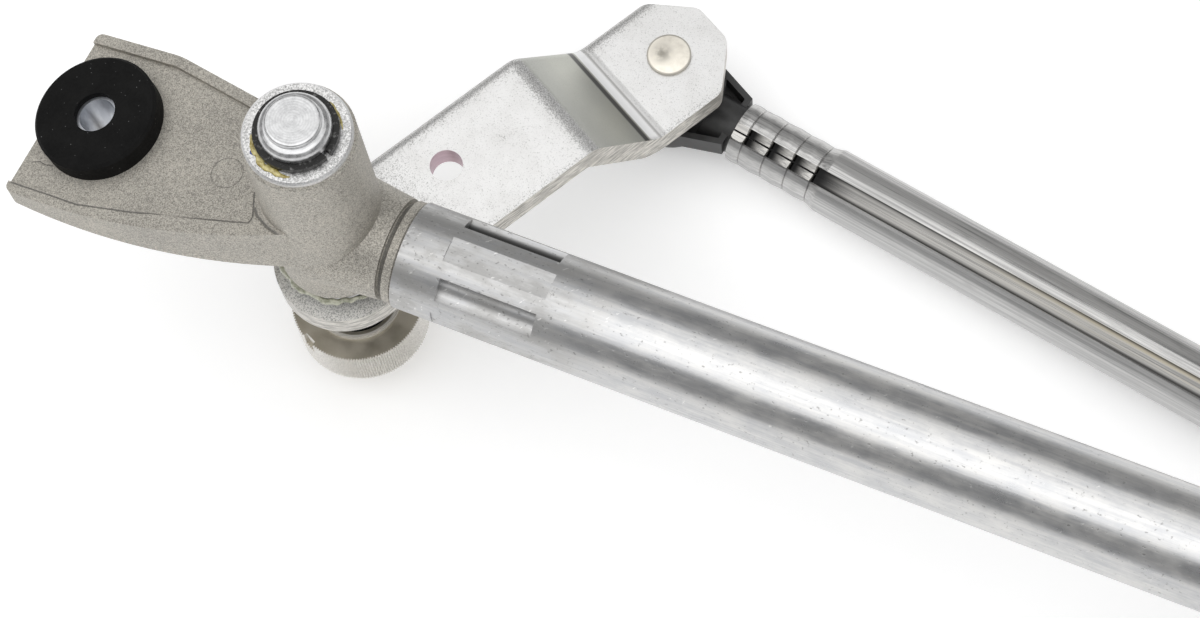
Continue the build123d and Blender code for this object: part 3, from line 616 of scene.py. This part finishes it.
def spring_steel():
    """Blackened spring steel, oily, with bright rubs."""
    s = Shader("black_spring_steel")
    rub = s.noise(s.place, 0.9, 4.0, 0.7)
    colour = s.blend(s.step(rub, 0.55, 0.7), grey(0.018, 0.03), grey(0.16, 0.02))
    roughness = s.step(rub, 0.35, 0.7, 0.22, 0.42)
    return s.finish(colour, roughness, 0.6, rub, 0.03, 0.5)


def rubber(name, level, dust):
    """Matt moulded rubber with a fine skin and pale dust specks."""
    s = Shader(name)
    skin = s.noise(s.place, 0.5, 4.0, 0.7)
    cloud = s.noise(s.place, 5.0, 3.0)
    specks = s.sum("MULTIPLY", s.step(s.cells(s.place, 1.1), 0.085, 0.035), s.step(cloud, 0.35, 0.6))
    colour = s.blend(s.spread(cloud), grey(level, 0.0), grey(level * 1.9, 0.02))
    colour = s.blend(s.sum("MULTIPLY", specks, dust), colour, grey(0.32, 0.0))
    roughness = s.spread(skin, 0.62, 0.8)
    return s.finish(colour, roughness, 0.0, skin, 0.04, 0.5, Specular_IOR_Level=0.14)


def black_plastic():
    """Moulded acetal: near black, half gloss, with faint flow marks."""
    s = Shader("black_plastic")
    flow = s.noise(s.place, 3.0, 3.0)
    skin = s.noise(s.place, 0.4, 3.0, 0.6)
    colour = s.blend(s.spread(flow), grey(0.022, 0.0), grey(0.04, 0.02))
    roughness = s.spread(flow, 0.34, 0.48)
    return s.finish(colour, roughness, 0.0, skin, 0.02, 0.4, Specular_IOR_Level=0.55)


def bracket_steel():
    """Galvanised pressed sheet: soft spangle and press marks."""
    s = Shader("bracket_steel")
    spangle = s.cells(s.place, 5.0)
    fine = s.noise(s.place, 0.5, 4.0, 0.7)
    marks = s.noise(s.scaled(s.place, (1, 0.06, 1)), 1.2, 3.0, 0.6)
    tone = s.sum("ADD", s.sum("MULTIPLY", spangle, 0.5), s.sum("MULTIPLY", marks, 0.5))
    colour = s.blend(s.step(tone, 0.3, 0.65), grey(0.46, -0.02), grey(0.64, -0.01))
    roughness = s.spread(fine, 0.32, 0.46)
    return s.finish(colour, roughness, 1.0, fine, 0.03, 0.45)


def grease(name, dark, pale):
    """Grease, wet and slightly dirty."""
    s = Shader(name)
    cloud = s.noise(s.place, 1.0, 4.0, 0.65)
    colour = s.blend(s.step(cloud, 0.35, 0.65), dark, pale)
    roughness = s.spread(cloud, 0.2, 0.4)
    return s.finish(colour, roughness, 0.0, cloud, 0.15, 0.6, Coat_Weight=0.5, Coat_Roughness=0.15)


def dress(names, material):
    """Gives CAD nodes their material."""
    for name in names:
        for slot in frame["nodes"][name].material_slots:
            slot.material = material


def both(name):
    """The near and the far node of a kind."""
    return [f"near_{name}", f"far_{name}"]


def dress_frame():
    """Puts a finish on every CAD node."""
    dress(both("housing"), cast_aluminium())
    dress(["near_lever"], lever_zinc("near_lever_zinc", NEAR_AXIS, NEAR_STUD))
    dress(["far_lever"], lever_zinc("far_lever_zinc", FAR_AXIS, FAR_STUD))
    dress(both("upper_washer") + both("thrust_washer"), washer_zinc())
    dress(both("grommet_sleeve"), sleeve_zinc())
    dress(["frame_tube"], galvanised_tube())
    dress(["motor_bracket"], bracket_steel())
    dress(["link_rod_tube"], rolled_steel("link_rod_steel", "link_rod_tube", NEAR_STUD, FAR_STUD))
    dress(["drive_rod_tube"], rolled_steel("drive_rod_steel", "drive_rod_tube", DRIVE_STUD, CRANK_PIN))
    dress(["near_shaft"], turned_steel("near_shaft_steel", NEAR_AXIS))
    dress(["far_shaft"], turned_steel("far_shaft_steel", FAR_AXIS))
    dress(both("link_stud") + ["far_drive_stud"], stud_steel([NEAR_STUD, FAR_STUD, DRIVE_STUD]))
    dress(both("serrated_drum"), die_cast_zinc())
    dress(both("lower_bush") + both("upper_bush"), sintered_bronze())
    dress(both("retaining_ring"), spring_steel())
    dress(both("grommet"), rubber("grommet_rubber", 0.004, 0.7))
    dress(both("lower_seal") + both("shaft_boot"), rubber("seal_rubber", 0.003, 0.5))
    dress(["near_rod_socket", "far_rod_socket", "drive_rod_socket", "crank_socket"], black_plastic())


def smear(name, centre, level, radius, width, height, start, end, material, seed):
    """A ragged low ridge along an arc about a point: sizes in millimetres, start and end in degrees."""
    draw = random.Random(seed)
    rings = max(SMEAR_RINGS, int((end - start) / SMEAR_STEP))
    points = []
    faces = []
    drift = 0.0
    for ring in range(rings + 1):
        share = ring / rings
        angle = math.radians(start + share * (end - start))
        inward = min(max(share, SMEAR_TIP), 1 - SMEAR_TIP)
        taper = math.sin(math.pi * inward) ** SMEAR_BLUNTNESS
        drift = DRIFT_KEPT * drift + DRIFT_ADDED * draw.uniform(-1, 1)
        half = width / 2 * taper * (1 + RAGGED_WIDTH * draw.uniform(-1, 1))
        top = height * taper * (1 + RAGGED_HEIGHT * draw.uniform(-1, 1))
        middle = radius + 0.5 * width * drift
        for number in range(SMEAR_POINTS):
            across = math.pi * number / (SMEAR_POINTS - 1)
            reach = (middle + half * math.cos(across)) * MM
            points.append((
                centre.x + reach * math.cos(angle),
                centre.y + reach * math.sin(angle),
                level + top * MM * math.sin(across),
            ))
    for ring in range(rings):
        for number in range(SMEAR_POINTS):
            first = ring * SMEAR_POINTS + number
            second = ring * SMEAR_POINTS + (number + 1) % SMEAR_POINTS
            faces.append((first, second, second + SMEAR_POINTS, first + SMEAR_POINTS))
    faces.append(tuple(range(SMEAR_POINTS - 1, -1, -1)))
    faces.append(tuple(rings * SMEAR_POINTS + number for number in range(SMEAR_POINTS)))
    mesh = bpy.data.meshes.new(name)
    mesh.from_pydata(points, [], faces)
    mesh.materials.append(material)
    piece = bpy.data.objects.new(name, mesh)
    bpy.context.scene.collection.objects.link(piece)
    for face in mesh.polygons:
        face.use_smooth = True
    soften = piece.modifiers.new("soften", "SUBSURF")
    soften.levels = soften.render_levels = 1
    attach(piece, "frame")


def add_grease():
    """Grease squeezed out at the ring and under the boss of each pivot, and a paint mark by the ring."""
    ochre = grease("ochre_grease", (0.3, 0.23, 0.05, 1), (0.68, 0.6, 0.27, 1))
    pale = grease("pale_grease", (0.26, 0.27, 0.19, 1), (0.55, 0.55, 0.44, 1))
    blue = grease("blue_mark", (0.03, 0.05, 0.22, 1), (0.12, 0.16, 0.4, 1))
    smears = (
        ("ring_grease_a", WASHER_TOP, 7.45, 1.3, 0.35, 203, 288, ochre, 3),
        ("ring_grease_b", WASHER_TOP, 7.3, 0.5, 0.25, 25, 70, ochre, 5),
        ("ring_mark", WASHER_TOP, 7.9, 0.4, 0.2, 224, 231, blue, 6),
        ("hub_grease", THRUST_FOOT, 9.9, 1.5, 1.45, 0, 357, pale, 8),
    )
    for prefix, axis in (("near", NEAR_AXIS), ("far", FAR_AXIS)):
        for name, *shape in smears:
            smear(f"{prefix}_{name}", axis, *shape)


def add_floor():
    """Plain pale floor just under the lowest part."""
    half = FLOOR_SIZE / 2
    middle = (cad_low + cad_high) / 2
    mesh = bpy.data.meshes.new("floor")
    corners = [(-half, -half), (half, -half), (half, half), (-half, half)]
    points = [(middle.x + x, middle.y + y, cad_low.z - FLOOR_GAP) for x, y in corners]
    mesh.from_pydata(points, [], [(0, 1, 2, 3)])
    material = bpy.data.materials.new("floor")
    material.use_nodes = True
    surface = material.node_tree.nodes["Principled BSDF"]
    surface.inputs["Base Color"].default_value = FLOOR_COLOUR
    surface.inputs["Roughness"].default_value = FLOOR_ROUGHNESS
    surface.inputs["Emission Color"].default_value = (1, 1, 1, 1)
    surface.inputs["Emission Strength"].default_value = FLOOR_GLOW
    mesh.materials.append(material)
    floor = bpy.data.objects.new("floor", mesh)
    bpy.context.scene.collection.objects.link(floor)


def add_light():
    """Even pale surroundings and two large softboxes overhead."""
    world = bpy.data.worlds.new("studio")
    world.use_nodes = True
    background = world.node_tree.nodes["Background"]
    background.inputs["Color"].default_value = (1, 1, 1, 1)
    background.inputs["Strength"].default_value = WORLD_STRENGTH
    bpy.context.scene.world = world
    for name, place, size, radiance in SOFTBOXES:
        light = bpy.data.lights.new(name, "AREA")
        light.shape = "RECTANGLE"
        light.size, light.size_y = size
        light.energy = radiance * math.pi * light.size * light.size_y
        softbox = bpy.data.objects.new(name, light)
        softbox.location = place
        softbox.visible_camera = False
        bpy.context.scene.collection.objects.link(softbox)


def add_camera():
    """Camera that sees what the photograph's camera saw."""
    data = bpy.data.cameras.new("camera")
    data.lens = CAMERA_LENS
    data.sensor_fit = "HORIZONTAL"
    data.sensor_width = SENSOR_WIDTH
    data.clip_start, data.clip_end = CAMERA_CLIP
    camera = bpy.data.objects.new("camera", data)
    camera.location = CAMERA_PLACE
    camera.rotation_euler = [math.radians(turn) for turn in CAMERA_TURNS]
    bpy.context.scene.collection.objects.link(camera)
    bpy.context.scene.camera = camera


add_camera()
add_light()
add_floor()
dress_frame()
add_grease()

bpy.context.scene.view_settings.view_transform = "Standard"
